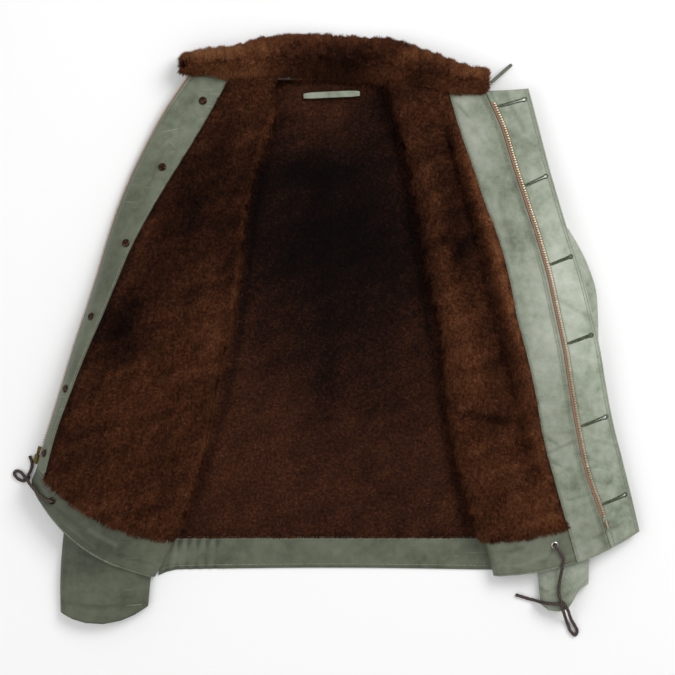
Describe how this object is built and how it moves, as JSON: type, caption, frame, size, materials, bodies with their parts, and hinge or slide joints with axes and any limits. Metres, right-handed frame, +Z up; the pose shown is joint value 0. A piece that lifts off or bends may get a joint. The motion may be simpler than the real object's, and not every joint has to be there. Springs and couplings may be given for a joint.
{
  "type": "deck jacket",
  "caption": "Fur-lined leather deck jacket laid flat on its back and open, fronts turned outwards over the sleeves, with zip, buttoned wind flap, fur collar and drawcord hem.",
  "frame": {"origin": "on the floor under the middle of the laid-out jacket, measured without its cords", "axes": "+Z up, from the outer back to the lining; +Y to the collar; +X to the wearer's left front"},
  "size_m": [0.8584, 0.8259, 0.0553],
  "materials": {
    "leather": "satin",
    "fur": "pile",
    "tape": "woven",
    "brass": "worn",
    "dark_metal": "worn",
    "cord": "braided"
  },
  "bodies": {
    "garment": {"back_shell": "leather", "button_1": "dark_metal", "button_2": "dark_metal", "button_3": "dark_metal", "button_4": "dark_metal", "button_5": "dark_metal", "button_6": "dark_metal", "button_stud_1": "dark_metal", "button_stud_2": "dark_metal", "button_stud_3": "dark_metal", "button_stud_4": "dark_metal", "button_stud_5": "dark_metal", "button_stud_6": "dark_metal", "collar_fur": "fur", "cord_end_l": "cord", "cord_end_r": "cord", "cord_knot_l": "cord", "cord_knot_r": "cord", "cord_l": "cord", "cord_loop_l": "cord", "cord_loop_r": "cord", "cord_r": "cord", "eyelet_l": "dark_metal", "eyelet_r": "dark_metal", "facing_l": "leather", "facing_r": "leather", "front_shell_l": "leather", "front_shell_r": "leather", "hanger_loop": "leather", "hem_band_back": "leather", "hem_band_front_l": "leather", "hem_band_front_r": "leather", "lining_back": "fur", "lining_front_l": "fur", "lining_front_r": "fur", "sleeve_l": "leather", "sleeve_r": "leather", "throat_strap": "leather", "under_collar": "leather", "wind_flap": "leather", "zip_chain_l": "brass", "zip_chain_r": "brass", "zip_pin": "brass", "zip_slider": "brass", "zip_tape_l": "tape", "zip_tape_r": "tape"},
    "pull_tab": {"pull_tab": "brass"}
  },
  "joints": [
    {"name": "pull_tab_hinge", "type": "hinge", "parent": "garment", "child": "pull_tab", "pos_m": [-0.40913, -0.17601, 0.0086], "axis": [0.9516, -0.3074, 0], "range_deg": [0, 150]}
  ]
}
